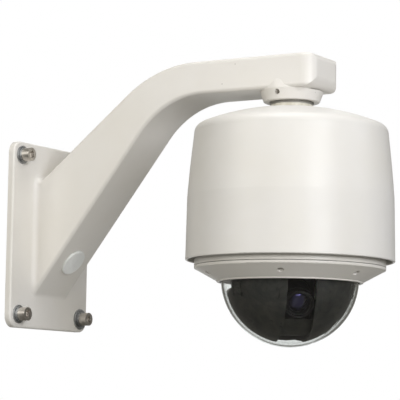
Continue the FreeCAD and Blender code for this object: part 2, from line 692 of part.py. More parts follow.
def make_bubble():
    """Clear hemisphere with a short skirt and flange, its gasket and its clamp ring."""
    inside = "(dims.bubble_radius - dims.bubble_wall)"
    under = "dims.shelf + 0.8"
    turned("dome_bubble", [
        ("0", "dims.ball_height - dims.bubble_radius", "dims.bubble_radius", 1),
        ("dims.bubble_radius", "dims.ball_height"),
        ("dims.bubble_radius", under), ("dims.bubble_flange", under),
        ("dims.bubble_flange", f"{under} + dims.bubble_wall"),
        (inside, f"{under} + dims.bubble_wall"),
        (inside, "dims.ball_height", inside, -1),
        ("0", f"dims.ball_height - {inside}")])
    turned("bubble_gasket", [
        ("dims.ring_bore + 0.2", "dims.shelf"), ("dims.bubble_flange", "dims.shelf"),
        ("dims.bubble_flange", under), ("dims.ring_bore + 0.2", under)])
    turned("bubble_clamp_ring", [
        (inside, f"{under} + dims.bubble_wall"),
        ("dims.bubble_flange + 0.6", f"{under} + dims.bubble_wall"),
        ("dims.bubble_flange + 0.6", "dims.flange_bottom"), (inside, "dims.flange_bottom")])


# ---------------------------------------------------------------- chassis, boards and fan

def fan_holes():
    """Centres of the four fan screws."""
    reach, offset = number("dims.fan_reach"), number("dims.fan_hole_offset")
    return [(offset * i, reach + offset * j) for i in (-1, 1) for j in (-1, 1)]


def pan_motor_holes():
    """Centres of the four pan motor screws."""
    x, y = pinion_centre()
    offset = number("dims.pan_motor_hole_offset")
    return [(x + offset * i, y + offset * j) for i in (-1, 1) for j in (-1, 1)]


def make_chassis():
    """Round chassis plate hung from the housing on four posts."""
    body = new_body("chassis_plate")
    rounds = [("0", "0", "dims.chassis_radius"), ("0", "0", "23")]
    rounds += [(str(x), str(y), "1.9") for x, y, _ in around(4, "dims.chassis_post_ring", 45)]
    rounds += [("0", "dims.fan_reach", "17")]
    rounds += [(str(x), str(y), "1.6") for x, y in fan_holes()]
    x, y = pinion_centre()
    rounds += [(str(x), str(y), "11")]
    rounds += [(str(x), str(y), "1.6") for x, y in pan_motor_holes()]
    pad(body, circles(body, "XY_Plane", rounds, "dims.chassis_bottom"), "dims.chassis_thick")
    node(body, "chassis_plate", "dome")
    floor = "dims.chassis_bottom + dims.chassis_thick"
    places = list(around(4, "dims.chassis_post_ring", 45))
    posts = [cut(solid("Prism", (str(x), str(y), floor), Polygon=6, Circumradius="4.5",
                       Height=f"dims.cup_top - dims.cup_wall - ({floor})"),
                 rod("1.65", f"{floor} - 1", f"{floor} + 10", str(x), str(y)))
             for x, y, _ in places]
    group("chassis_posts", posts, "dome")
    screws = [moved(cap_screw(*SCREWS["chassis"]), x, y, number("dims.chassis_bottom"), roll=180)
              for x, y, _ in places]
    group("chassis_screws", screws, "dome")


def make_boards():
    """Main board over the chassis, power board under the roof, and the wiring block."""
    floor = "dims.chassis_bottom + dims.chassis_thick"
    board, power = "dims.board_height", "dims.power_board_height"
    top, power_top = f"({board} + dims.board_thick)", f"({power} + dims.board_thick)"
    spacers = [rod("3", floor, board, str(x), str(y))
               for x, y, _ in around(4, "dims.board_spacer_ring", 45)]
    node(cut(rod("dims.board_radius", board, top), rod("20", f"{board} - 1", f"{top} + 1")),
         "main_board", "dome")
    chips = [block((str(x), str(y), top), (str(x + wide), str(y + deep), f"{top} + {tall}"))
             for x, y, wide, deep, tall in ((-44, -10, 18, 18, 2.4), (24, 10, 22, 14, 2),
                                            (26, -26, 14, 12, 2), (-16, 30, 28, 10, 6),
                                            (-14, -52, 24, 16, 13))]
    group("board_components", chips, "dome")
    node(block(("-55", "-40", power), ("55", "40", power_top)), "power_board", "dome")
    spacers += [rod("3", power_top, "dims.cup_top - dims.cup_wall", str(48 * i), str(33 * j))
                for i in (-1, 1) for j in (-1, 1)]
    group("board_spacers", spacers, "dome")
    ways = [solid("Cylinder", (str(-14 + 7 * i), "20", f"{power_top} + 6.4"), (0, 0, 90),
                  Radius="2", Height="12") for i in range(5)]
    case = block(("-19", "10", power_top), ("19", "22", f"{power_top} + 11.4"))
    node(cut(case, *ways), "terminal_block", "dome")


def make_fan_and_heater():
    """Demisting fan over its chassis hole, and the heater block opposite."""
    reach, half = "dims.fan_reach", "dims.fan_half"
    bottom, top = "dims.fan_bottom", "dims.fan_top"
    duct = rod("18", f"{bottom} - 2", f"{top} + 2", "0", reach)
    case = cut(block((f"-{half}", f"{reach} - {half}", bottom),
                     (half, f"{reach} + {half}", top)), duct)
    hub = rod("8", bottom, f"{bottom} + 2", "0", reach)
    arms = [block((str(-19 * i), f"{reach} - {19 * j}", bottom),
                  (str(19 * i), f"{reach} + {19 * j}", f"{bottom} + 1.5"))
            for i, j in ((1, 0.07), (0.07, 1))]
    spindle = rod("1", f"{bottom} + 1", f"{bottom} + 9", "0", reach)
    holes = [rod("1.7", f"{bottom} - 1", f"{top} + 1", str(x), str(y)) for x, y in fan_holes()]
    node(cut(fuse(case, hub, spindle, *arms), *holes), "fan_frame", "dome")
    screws = [moved(cap_screw(*SCREWS["fan"]), x, y, number(top)) for x, y in fan_holes()]
    group("fan_screws", screws, "dome")
    hub_shell = cut(rod("8", f"{bottom} + 2.6", f"{bottom} + 10.4", "0", reach),
                    rod("1.06", f"{bottom} + 2", f"{bottom} + 9.5", "0", reach))
    blades = []
    middle = V(0, number(reach), number(f"{bottom} + 6.5"))
    count = 7
    for step in range(count):
        blade = block(("7", "-0.5", "-3.2"), ("17", "0.5", "3.2"))
        tilt = FreeCAD.Rotation(V(1, 0, 0), 38)
        spin = FreeCAD.Rotation(V(0, 0, 1), step * 360 / count)
        blade.Placement = FreeCAD.Placement(middle, spin).multiply(
            FreeCAD.Placement(V(), tilt).multiply(blade.Placement))
        for axis in "xyz":
            blade.setExpression("Placement.Base." + axis, None)
        blades.append(blade)
    node(fuse(hub_shell, *blades), "fan_rotor", "dome")
    fins = [block((str(-24 + 6 * i), "-74", "31"), (str(-21 + 6 * i), "-50", "42"))
            for i in range(8)]
    node(cut(block(("-27", "-72", "27"), ("27", "-52", "41")), *fins), "heater_block", "dome")


# ---------------------------------------------------------------- pan drive

def pinion_centre():
    """Centre of the pan pinion, round the dome's axis."""
    radius = number("dims.pan_module * (dims.pan_gear_teeth + dims.pan_pinion_teeth) / 2")
    angle = math.radians(number("dims.pinion_bearing"))
    return radius * math.cos(angle), radius * math.sin(angle)


def make_pan_motor():
    """Stepper motor on the chassis, its screws, and the pinion on its shaft."""
    x, y = pinion_centre()
    floor = number("dims.chassis_bottom + dims.chassis_thick")
    half = number("dims.pan_motor_half")
    case = block((str(x - half), str(y - half), str(floor)),
                 (str(x + half), str(y + half), str(floor + 26)))
    boss = rod("10.8", "dims.chassis_bottom", str(floor + 1), str(x), str(y))
    bore = rod("2.56", "dims.chassis_bottom - 1", str(floor + 21), str(x), str(y))
    holes = [rod("1.4", str(floor - 1), str(floor + 6), str(across), str(along))
             for across, along in pan_motor_holes()]
    node(cut(fuse(case, boss), bore, *holes), "pan_motor", "dome")
    screws = [moved(cap_screw(*SCREWS["pan_motor"]), across, along,
                    number("dims.chassis_bottom"), roll=180)
              for across, along in pan_motor_holes()]
    group("pan_motor_screws", screws, "dome")
    teeth = int(number("dims.pan_pinion_teeth"))
    bottom = number("dims.pan_gear_bottom")
    gear = spur_gear("pan_pinion_teeth", teeth, number("dims.pan_module"), 6)
    bearing = number("dims.pinion_bearing")
    ratio = number("dims.pan_gear_teeth / dims.pan_pinion_teeth")
    mesh = ratio * (bearing - number("dims.pan_rest")) + 180 / teeth
    moved(gear, x, y, bottom + 0.5, yaw=bearing + 180 + mesh)
    shaft = rod("2.5", str(bottom + 0.5), str(floor + 20), str(x), str(y))
    node(fuse(gear, shaft), "pan_pinion", "dome")


def bearing_ring(name, inner, outer, where):
    """One race of the pan bearing, with its groove."""
    bottom = number("dims.bearing_bottom")
    ring = cut(rod(outer, "dims.bearing_bottom", "dims.bearing_bottom + dims.bearing_width"),
               rod(inner, "dims.bearing_bottom - 1",
                   "dims.bearing_bottom + dims.bearing_width + 1"))
    groove = solid("Torus", (0, 0, str(bottom + number("dims.bearing_width") / 2)),
                   Radius1="(dims.bearing_bore + dims.bearing_outside) / 2",
                   Radius2="dims.ball_radius + 0.1")
    node(cut(ring, groove), name, where)


def make_pan_bearing():
    """Deep-groove ball bearing in its housing under the chassis."""
    bearing_ring("pan_bearing_outer", "dims.bearing_outside - 2", "dims.bearing_outside - 0.02",
                 "dome")
    bearing_ring("pan_bearing_inner", "dims.bearing_bore + 0.02", "dims.bearing_bore + 2", "pan")
    height = number("dims.bearing_bottom + dims.bearing_width / 2")
    circle = number("(dims.bearing_bore + dims.bearing_outside) / 2")
    balls = [solid("Sphere", (str(x), str(y), str(height)), Radius="dims.ball_radius")
             for x, y, _ in around(14, circle)]
    group("bearing_balls", balls, "pan")
    turned("bearing_housing", [
        ("dims.bearing_outside", "dims.bearing_bottom"),
        ("dims.bearing_outside - 1", "dims.bearing_bottom"),
        ("dims.bearing_outside - 1", "dims.bearing_bottom - 2"),
        ("dims.bearing_outside + 3", "dims.bearing_bottom - 2"),
        ("dims.bearing_outside + 3", "dims.chassis_bottom - 2.5"),
        ("34", "dims.chassis_bottom - 2.5"), ("34", "dims.chassis_bottom"),
        ("dims.bearing_outside", "dims.chassis_bottom")])


def make_pan_gear():
    """Large pan gear clamped to the yoke by the flanged hub that turns in the bearing."""
    bottom, thick = number("dims.pan_gear_bottom"), number("dims.pan_gear_thick")
    openings = [(0, 0, number("dims.bearing_bore") + 0.1)]
    openings += [(x, y, 1.7) for x, y, _ in around(4, "dims.hub_screw_ring", 0)]
    openings += [(x, y, 4.5) for x, y, _ in around(8, 35.5, 22.5)]
    gear = spur_gear("pan_gear", int(number("dims.pan_gear_teeth")),
                     number("dims.pan_module"), thick, openings)
    node(moved(gear, 0, 0, bottom), "pan_gear", "pan")
    top = bottom + thick
    body = new_body("pan_hub")
    revolve(body, [
        ("11.4", str(bottom)), ("dims.bearing_bore", str(bottom)),
        ("dims.bearing_bore", str(top)), ("30", str(top)), ("30", str(top + 2.5)),
        ("dims.bearing_bore + 1.5", str(top + 2.5)),
        ("dims.bearing_bore + 1.5", "dims.bearing_bottom"),
        ("dims.bearing_bore", "dims.bearing_bottom"),
        ("dims.bearing_bore", "dims.bearing_bottom + 9"), ("11.4", "dims.bearing_bottom + 9")])
    holes = [(str(x), str(y), "1.7") for x, y, _ in around(4, "dims.hub_screw_ring", 0)]
    pocket(body, circles(body, "XY_Plane", holes, str(top - 1)), "5", reverse=True)
    node(body, "pan_hub", "pan")
    screws = [moved(cap_screw(*SCREWS["pan_hub"]), x, y, top + 2.5)
              for x, y, _ in around(4, "dims.hub_screw_ring", 0)]
    group("pan_hub_screws", screws, "pan")


def make_slip_ring():
    """Capsule slip ring: the outer body stands on the chassis, the core turns with the pan."""
    turned("slip_ring_body", [
        ("6.1", "8"), ("10.8", "8"), ("10.8", "30"), ("23", "30"), ("23", "27"), ("27", "27"),
        ("27", "32"), ("10.8", "32"), ("10.8", "50"), ("0", "50"), ("0", "36"), ("6.1", "36")])
    turned("slip_ring_core", [
        ("0", "dims.pan_gear_bottom - 3"), ("4", "dims.pan_gear_bottom - 3"),
        ("4", "dims.pan_gear_bottom + 1"), ("11.3", "dims.pan_gear_bottom + 1"),
        ("11.3", "dims.pan_gear_bottom + 4"), ("6", "dims.pan_gear_bottom + 4"), ("6", "35"),
        ("0", "35")], "pan")


# ---------------------------------------------------------------- yoke, liner and tilt drive

def tilt_centre_distance():
    return number("dims.tilt_module * (dims.tilt_gear_teeth + dims.tilt_pinion_teeth) / 2")


def make_yoke():
    """U-shaped yoke: a round plate under the pan gear and two arms to the tilt axis."""
    top = "dims.pan_gear_bottom"
    plate = rod("dims.liner_radius - 0.4", f"{top} - dims.yoke_plate", top)
    inside, outside = "dims.yoke_arm_inside", "(dims.yoke_arm_inside + dims.yoke_arm_thick)"
    arms = [block(("-14", inside, "dims.ball_height - 11"), ("14", outside, f"{top} - 1")),
            block(("-14", f"-{outside}", "dims.ball_height - 11"), ("14", f"-{inside}",
                                                                   f"{top} - 1"))]
    core_hole = rod("4.3", f"{top} - 6", f"{top} + 1")
    axle = solid("Cylinder", (0, "-50", "dims.ball_height"), (0, 0, -90), Radius="6", Height="100")
    rise = tilt_centre_distance()
    shaft_hole = solid("Cylinder", (0, "30", f"dims.ball_height + {rise}"), (0, 0, -90),
                       Radius="5.2", Height="20")
    screw_holes = [rod("1.55", f"{top} - 6", f"{top} + 1", str(x), str(y))
                   for x, y, _ in around(4, "dims.hub_screw_ring", 0)]
    screw_holes += [rod("1.35", f"{top} - 6", f"{top} + 1", str(x), str(y))
                    for x, y, _ in around(4, "dims.liner_screw_ring", 45)]
    motor_holes = [solid("Cylinder", (f"{side} * dims.tilt_motor_hole_offset", "30",
                                      f"dims.ball_height + {rise}"),
                         (0, 0, -90), Radius="1.1", Height="20") for side in (-1, 1)]
    node(cut(fuse(plate, *arms), core_hole, axle, shaft_hole, *screw_holes, *motor_holes),
         "pan_yoke", "pan")


def make_liner():
    """Black inner dome that hides the works and turns with the pan, slotted for the lens."""
    body = new_body("dome_liner")
    inside = "(dims.liner_radius - dims.liner_wall)"
    revolve(body, [
        ("0", "dims.ball_height - dims.liner_radius", "dims.liner_radius", 1),
        ("dims.liner_radius", "dims.ball_height"), ("dims.liner_radius", "dims.liner_top"),
        ("56", "dims.liner_top"), ("56", "dims.liner_top - 2"),
        (inside, "dims.liner_top - 2"), (inside, "dims.ball_height", inside, -1),
        ("0", f"dims.ball_height - {inside}")])
    doc.recompute()
    slot = outline(body, "XY_Plane", [
        ("dims.slot_end", "-dims.slot_end_half"), ("dims.slot_shoulder", "-dims.slot_half"),
        ("100", "-dims.slot_half"), ("100", "dims.slot_half"),
        ("dims.slot_shoulder", "dims.slot_half"), ("dims.slot_end", "dims.slot_end_half")],
        "dims.ball_height - 90")
    pocket(body, slot, "dims.slot_top - dims.ball_height + 90", reverse=True)
    ball = "dims.ball_height"
    side_opening = outline(body, "XZ_Plane", [
        ("dims.side_far", f"{ball} - dims.side_drop_far"),
        ("dims.side_near - 3", f"{ball} - dims.side_drop_near"),
        ("dims.side_near", f"{ball} + dims.side_top"),
        ("dims.side_far", f"{ball} + dims.side_top")], "dims.liner_radius * 0.7")
    pocket(body, side_opening, "dims.liner_radius / 2", reverse=True)
    holes = [(str(x), str(y), "1.5") for x, y, _ in around(4, "dims.liner_screw_ring", 45)]
    pocket(body, circles(body, "XY_Plane", holes, "dims.liner_top - 3"), "4", reverse=True)
    node(body, "dome_liner", "pan")
    under = number("dims.liner_top") - 2
    screws = [moved(cap_screw(*SCREWS["liner"]), x, y, under, roll=180)
              for x, y, _ in around(4, "dims.liner_screw_ring", 45)]
    group("liner_screws", screws, "pan")


def make_tilt_drive():
    """Tilt motor on the yoke arm, its pinion, and the bushes that carry the trunnions."""
    ball = number("dims.ball_height")
    height = ball + tilt_centre_distance()
    arm = number("dims.yoke_arm_inside + dims.yoke_arm_thick")
    case = solid("Cylinder", (0, str(arm), str(height)), (0, 0, -90), Radius="12", Height="15")
    nose = solid("Cylinder", (0, str(arm - 3), str(height)), (0, 0, -90), Radius="5", Height="4")
    bore = solid("Cylinder", (0, str(arm - 5), str(height)), (0, 0, -90), Radius="1.56",
                 Height="17")
    holes = [solid("Cylinder", (f"{side} * dims.tilt_motor_hole_offset", str(arm - 1),
                                str(height)), (0, 0, -90), Radius="0.95", Height="6")
             for side in (-1, 1)]
    node(cut(fuse(case, nose), bore, *holes), "tilt_motor", "pan")
    offset = number("dims.tilt_motor_hole_offset")
    screws = [moved(cap_screw(*SCREWS["tilt_motor"]), offset * side, arm - 3, height, roll=90)
              for side in (-1, 1)]
    group("tilt_motor_screws", screws, "pan")
    gear = spur_gear("tilt_pinion_teeth", int(number("dims.tilt_pinion_teeth")),
                     number("dims.tilt_module"), 4.5)
    face = number("dims.camera_half_width") + 2.8
    moved(gear, 0, face, height, roll=-90)
    shaft = solid("Cylinder", (0, str(face), str(height)), (0, 0, -90), Radius="1.5",
                  Height=str(arm + 11 - face))
    node(fuse(gear, shaft), "tilt_pinion", "pan")
    bushes = []
    for side in (-1, 1):
        length = number("dims.yoke_arm_thick")
        start = number("dims.yoke_arm_inside") if side > 0 else -arm
        sleeve = solid("Cylinder", (0, str(start), str(ball)), (0, 0, -90), Radius="5.98",
                       Height=str(length))
        rim_start = arm if side > 0 else -arm - 1.2
        rim = solid("Cylinder", (0, str(rim_start), str(ball)), (0, 0, -90), Radius="7.5",
                    Height="1.2")
        hole = solid("Cylinder", (0, str(start - 3), str(ball)), (0, 0, -90),
                     Radius="dims.pin_radius + dims.fit_gap", Height="9")
        bushes.append(cut(fuse(sleeve, rim), hole))
    group("tilt_bushes", bushes, "pan")


# ---------------------------------------------------------------- camera block on the tilt axis

def crosswise(radius, start, length, across=0, up=0):
    """Cylinder along the tilt axis."""
    return solid("Cylinder", (str(across), str(start), str(up)), (0, 0, -90), Radius=radius,
                 Height=str(length))


def drum_segment(radius, half, first, last):
    """Slice of a drum about the tilt axis, between two angles below the lens axis."""
    return solid("Cylinder", ("0", f"-({half})", "0"), (0, number(first), -90), Radius=radius,
                 Height=f"2 * ({half})", Angle=f"({last}) - ({first})")


def make_cradle():
    """Bracket round the camera block with its chin cover, the trunnion pins and tilt gear."""
    inside = "(dims.camera_half_width + dims.cheek_gap)"
    outside = f"({inside} + dims.cheek_thick)"
    reach = number(inside)
    plate = number("dims.cheek_thick")
    length, height = "dims.cheek_half_length", "dims.cheek_half_height"
    cheeks = [block((f"-{length}", inside, f"-{height}"), (length, outside, height)),
              block((f"-{length}", f"-{outside}", f"-{height}"), (length, f"-{inside}", height))]
    back = block(("dims.camera_back - 3.3", f"-{outside}", f"-{height}"),
                 ("dims.camera_back - 1.3", outside, height))
    rails = [block(("dims.camera_back - 1.5", inside, f"-{height}"), ("-15", outside, height)),
             block(("dims.camera_back - 1.5", f"-{outside}", f"-{height}"),
                   ("-15", f"-{inside}", height))]
    chin = [drum_segment("dims.chin_radius", outside, "dims.chin_start", "dims.chin_ledge"),
            drum_segment("dims.chin_radius - dims.chin_step", outside, "dims.chin_start",
                         "dims.chin_end")]
    hollow = drum_segment("dims.chin_radius - dims.chin_step - dims.chin_wall", inside,
                          "dims.chin_start - 5", "dims.chin_end + 5")
    slope = math.radians(number("(dims.chin_start + dims.chin_end) / 2"))
    window = crosswise("dims.chin_window_radius", -30, 60,
                       f"dims.chin_window_reach * {math.cos(slope)}",
                       f"-dims.chin_window_reach * {math.sin(slope)}")
    pin_bore = crosswise("dims.pin_radius - 0.01", -40, 80)
    hood = cut(fuse(*chin), hollow, window)
    node(cut(fuse(back, *cheeks, *rails, hood), pin_bore), "camera_bracket", "tilt")
    arm_outside = number("dims.yoke_arm_inside + dims.yoke_arm_thick")
    pins = []
    for direction in (-1, 1):
        start = reach + 0.1
        end = arm_outside + 0.8
        low = start if direction > 0 else -end
        pin = crosswise("dims.pin_radius", low, end - start)
        pins.append(pin)
    group("trunnion_pins", pins, "tilt")
    openings = [(0, 0, number("dims.pin_radius"))]
    openings += [(x, y, 4.5) for x, y, _ in around(5, 14, 18)]
    gear = spur_gear("tilt_gear", int(number("dims.tilt_gear_teeth")),
                     number("dims.tilt_module"), 4, openings)
    node(moved(gear, 0, reach + plate, 0, roll=-90), "tilt_gear", "tilt")


def make_camera():
    """Block camera: case, lens barrel with two moving groups, front glass and rear board."""
    half_width, half_height = "dims.camera_half_width", "dims.camera_half_height"
    body = new_body("camera_body")
    case = outline(body, "YZ_Plane", [
        (f"-{half_width}", f"-{half_height}"), (half_width, f"-{half_height}"),
        (half_width, half_height), (f"-{half_width}", half_height)], "dims.camera_back")
    pad(body, case, "dims.camera_front - dims.camera_back")

    def along_lens(edge):
        return edge.BoundBox.XLength > 40

    round_edges(body, "4", along_lens)
    primitive(body, "SubtractiveCylinder", ("-24", "0", "0"), (0, 90, 0), Radius="14.6",
              Height="60")
    node(body, "camera_body", "tilt")

    # the lens pieces are turned about their own Z axis, which is then laid along the lens axis
    def lens_piece(name, corners):
        lens = new_body(name)
        revolve(lens, corners)
        doc.recompute()
        lens.Placement = FreeCAD.Placement(V(), FreeCAD.Rotation(0, 90, 0))
        return node(lens, name, "tilt")

    front = "dims.barrel_front"
    lens_piece("lens_barrel", [
        ("12.9", "-18"), ("14.5", "-18"), ("14.5", "dims.camera_front"),
        ("dims.barrel_radius", "dims.camera_front"), ("dims.barrel_radius", f"{front} - 9"),
        ("dims.barrel_radius - 1", f"{front} - 9"), ("dims.barrel_radius - 1", f"{front} - 7"),
        ("dims.barrel_radius", f"{front} - 7"), ("dims.barrel_radius", front),
        ("dims.lens_radius + 2", front), ("dims.lens_radius + 0.1", f"{front} - 6"),
        ("dims.lens_radius + 0.1", f"{front} - 11"), ("12.9", f"{front} - 11")])
    lens_piece("lens_front_ring", [
        ("dims.lens_radius - 1", f"{front} - 5.6"), ("dims.lens_radius", f"{front} - 5.6"),
        ("dims.lens_radius + 1.3", f"{front} - 1.8"), ("dims.lens_radius", f"{front} - 1.8"),
        ("dims.lens_radius - 1", f"{front} - 4.2")])
    lens_piece("front_lens", [
        ("0", f"{front} - 10.8"), ("dims.lens_radius", f"{front} - 10.8"),
        ("dims.lens_radius", f"{front} - 6.4"),
        ("dims.lens_radius - 1.4", f"{front} - 6.4", "dims.lens_curve", 1),
        ("0", f"{front} - 6.4 + dims.lens_curve - "
              "sqrt(dims.lens_curve ^ 2 - (dims.lens_radius - 1.4) ^ 2)")])
    lens_piece("zoom_lens_group", [
        ("0", "12"), ("12.8", "12"), ("12.8", "18"), ("11", "18"), ("11", "17"), ("0", "17")])
    lens_piece("focus_lens_group", [
        ("0", "-14"), ("12.8", "-14"), ("12.8", "-9"), ("9", "-9"), ("9", "-10"), ("0", "-10")])
    board = block(("dims.camera_back - 1.2", "-19", "-19"), ("dims.camera_back", "19", "19"))
    node(board, "sensor_board", "tilt")


for make in (make_wall_arm, make_wall_bolts, make_plug, make_set_screw, make_neck,
             make_sun_shroud, make_shroud_mounting, make_inner_housing, make_trim_ring,
             make_bubble, make_chassis, make_boards, make_fan_and_heater, make_pan_motor,
             make_pan_bearing, make_pan_gear, make_slip_ring, make_yoke, make_liner,
             make_tilt_drive, make_cradle, make_camera):
    make()

doc.recompute()
for item in doc.Objects:
    if "Invalid" in item.State or "Error" in item.State:
        raise RuntimeError(f"{item.Name} did not build")
os.makedirs("parts", exist_ok=True)
for piece in NODES:
    if piece.Shape.isNull() or not piece.Shape.isValid():
        raise RuntimeError(f"{piece.Label} has no valid shape")
    piece.Shape.exportStep(f"parts/{piece.Label}.step")
print(len(NODES), "pieces")
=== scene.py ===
"""Looks of the pendant dome camera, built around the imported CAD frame. Lengths are metres."""
import json
import math

import bmesh
import bpy
from mathutils import Matrix, Vector

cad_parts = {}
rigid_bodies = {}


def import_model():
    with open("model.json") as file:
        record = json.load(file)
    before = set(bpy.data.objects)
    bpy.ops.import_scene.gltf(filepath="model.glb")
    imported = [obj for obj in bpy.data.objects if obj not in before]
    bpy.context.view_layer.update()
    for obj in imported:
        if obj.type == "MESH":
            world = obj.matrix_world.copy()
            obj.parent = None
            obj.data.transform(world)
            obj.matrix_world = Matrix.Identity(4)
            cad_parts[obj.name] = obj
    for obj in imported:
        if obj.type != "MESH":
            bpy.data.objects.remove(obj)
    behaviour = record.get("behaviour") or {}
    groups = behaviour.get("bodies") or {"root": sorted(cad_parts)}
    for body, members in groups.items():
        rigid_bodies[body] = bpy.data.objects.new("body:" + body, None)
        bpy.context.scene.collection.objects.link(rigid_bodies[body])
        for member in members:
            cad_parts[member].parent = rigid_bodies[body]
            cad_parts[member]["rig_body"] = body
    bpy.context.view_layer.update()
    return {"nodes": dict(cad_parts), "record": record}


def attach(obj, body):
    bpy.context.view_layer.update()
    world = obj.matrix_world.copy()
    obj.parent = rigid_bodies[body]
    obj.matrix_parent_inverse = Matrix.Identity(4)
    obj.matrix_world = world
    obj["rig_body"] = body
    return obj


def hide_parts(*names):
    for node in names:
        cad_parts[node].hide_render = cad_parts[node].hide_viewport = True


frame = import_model()
MM = 0.001
REACH = 0.338  # from the wall to the dome's axis
BALL = -0.056  # height of the bubble's centre
YAW = math.radians(-50.5)  # where the pan head looks at rest, from +X
DOME_FRAME = Matrix.Translation((REACH, 0, 0))
PAN_HEAD_FRAME = Matrix.Translation((REACH, 0, BALL)) @ Matrix.Rotation(YAW, 4, "Z")


# ------------------------------------------------------------------ shader building

class Shader:
    """A Principled material with a few shorthands for its nodes."""

    def __init__(self, name):
        self.material = bpy.data.materials.new(name)
        self.material.use_nodes = True
        self.tree = self.material.node_tree
        self.tree.nodes.clear()
        self.output = self.tree.nodes.new("ShaderNodeOutputMaterial")
        self.surface = self.tree.nodes.new("ShaderNodeBsdfPrincipled")
        self.tree.links.new(self.surface.outputs[0], self.output.inputs["Surface"])
        self.place = self.tree.nodes.new("ShaderNodeTexCoord").outputs["Object"]
        self.height = None

    def set(self, **values):
        for name, value in values.items():
            socket = self.surface.inputs[name.replace("_", " ")]
            socket.default_value = (*value, 1) if isinstance(value, tuple) else value
        return self

    def feed(self, name, value):
        self.tree.links.new(value, self.surface.inputs[name])
        return self

    def node(self, kind, **settings):
        made = self.tree.nodes.new(kind)
        for name, value in settings.items():
            setattr(made, name, value)
        return made

    def stretch(self, x, y, z, vector=None):
        made = self.node("ShaderNodeVectorMath", operation="MULTIPLY")
        self.tree.links.new(vector or self.place, made.inputs[0])
        made.inputs[1].default_value = (x, y, z)
        return made.outputs[0]

    def noise(self, scale, detail=3, roughness=0.5, distortion=0.0, vector=None):
        made = self.node("ShaderNodeTexNoise")
        self.tree.links.new(vector or self.place, made.inputs["Vector"])
        for name, value in (("Scale", scale), ("Detail", detail), ("Roughness", roughness),
                            ("Distortion", distortion)):
            made.inputs[name].default_value = value
        return made.outputs["Fac"]

    def cells(self, scale, feature="F1", vector=None):
        made = self.node("ShaderNodeTexVoronoi", feature=feature)
        self.tree.links.new(vector or self.place, made.inputs["Vector"])
        made.inputs["Scale"].default_value = scale
        return made.outputs["Distance"]

    def remap(self, value, low, high, to_low=0.0, to_high=1.0):
        made = self.node("ShaderNodeMapRange")
        self.tree.links.new(value, made.inputs[0])
        for index, number in enumerate((low, high, to_low, to_high), start=1):
            made.inputs[index].default_value = number
        return made.outputs[0]

    def maths(self, operation, first, second):
        made = self.node("ShaderNodeMath", operation=operation)
        for socket, value in zip(made.inputs, (first, second)):
            if isinstance(value, (int, float)):
                socket.default_value = value
            else:
                self.tree.links.new(value, socket)
        return made.outputs[0]

    def blend(self, amount, first, second):
        made = self.node("ShaderNodeMix", data_type="RGBA")
        colours = [socket for socket in made.inputs if socket.type == "RGBA"]
        factor = made.inputs[0]
        for socket, value in zip((factor, *colours), (amount, first, second)):
            if isinstance(value, tuple):
                socket.default_value = (*value, 1)
            elif isinstance(value, (int, float)):
                socket.default_value = value
            else:
                self.tree.links.new(value, socket)
        return next(out for out in made.outputs if out.type == "RGBA")

    def position(self):
        made = self.node("ShaderNodeSeparateXYZ")
        self.tree.links.new(self.place, made.inputs[0])
        return made.outputs

    def near(self, point, radius):
        """1 inside a small ball round a point of the object, fading to 0 at its radius."""
        made = self.node("ShaderNodeVectorMath", operation="DISTANCE")
        self.tree.links.new(self.place, made.inputs[0])
        made.inputs[1].default_value = point
        return self.remap(made.outputs["Value"], radius * 0.6, radius, 1, 0)

    def bump(self, value, distance, strength=1.0):
        made = self.node("ShaderNodeBump")
        made.inputs["Strength"].default_value = strength
        made.inputs["Distance"].default_value = distance
        self.tree.links.new(value, made.inputs["Height"])
        if self.height is not None:
            self.tree.links.new(self.height, made.inputs["Normal"])
        self.height = made.outputs["Normal"]
        self.tree.links.new(self.height, self.surface.inputs["Normal"])
        return self


CHIP_AND_SHADE_COLOUR = (0.20, 0.185, 0.16)
PINHOLE_COLOUR = (0.25, 0.23, 0.20)


def paint(name, colour, waviness, chips_and_shade_spots=()):
    """Off-white powder coat: fine orange peel, faint yellowing, pinholes, dark chips and dark
    spots of painted shade.
    """
    s = Shader(name)
    s.set(Roughness=0.42, Coat_Weight=0.12, Coat_Roughness=0.25, Specular_IOR_Level=0.45)
    broad = s.noise(7, 4, 0.6)
    fine = s.noise(55, 3)
    warm = tuple(c * k for c, k in zip(colour, (0.965, 0.955, 0.92)))
    base = s.blend(s.remap(broad, 0.35, 0.7), colour, warm)
    base = s.blend(s.remap(fine, 0.3, 0.75, 0, 0.25), base, tuple(c * 0.94 for c in colour))
    dots = s.remap(s.cells(62), 0.035, 0.02)
    rare = s.remap(s.noise(31, 2), 0.66, 0.68)
    base = s.blend(s.maths("MULTIPLY", dots, rare), base, PINHOLE_COLOUR)
    # dark spots: real paint chips on the collar and arm, and painted shade in the screw recesses
    for point, radius in chips_and_shade_spots:
        base = s.blend(s.near(point, radius), base, CHIP_AND_SHADE_COLOUR)
    s.feed("Base Color", base)
    s.feed("Roughness", s.remap(s.noise(24, 4, 0.6), 0.3, 0.7, 0.36, 0.5))
    s.bump(s.noise(16, 3), 0.0009, waviness)
    s.bump(s.noise(900, 2), 0.00005, 0.5)
    return s.material


def metal(name, colour, roughness, grain=260, amount=0.3):
    """Bare metal with turning marks and slightly tarnished patches."""
    s = Shader(name)
    s.set(Metallic=1.0, Roughness=roughness)
    marks = s.noise(grain, 4, 0.65, vector=s.stretch(1, 1, 6))
    patches = s.remap(s.noise(130, 4, 0.6), 0.42, 0.66, 0, amount)
    base = s.blend(patches, colour, tuple(c * 0.5 for c in colour))
    base = s.blend(s.remap(marks, 0.3, 0.7, 0, 0.25), base, tuple(c * 0.8 for c in colour))
    s.feed("Base Color", base)
    s.feed("Roughness", s.remap(marks, 0.3, 0.7, roughness * 0.8, min(1, roughness * 1.35)))
    s.bump(marks, 0.00004, 0.6)
    return s.material


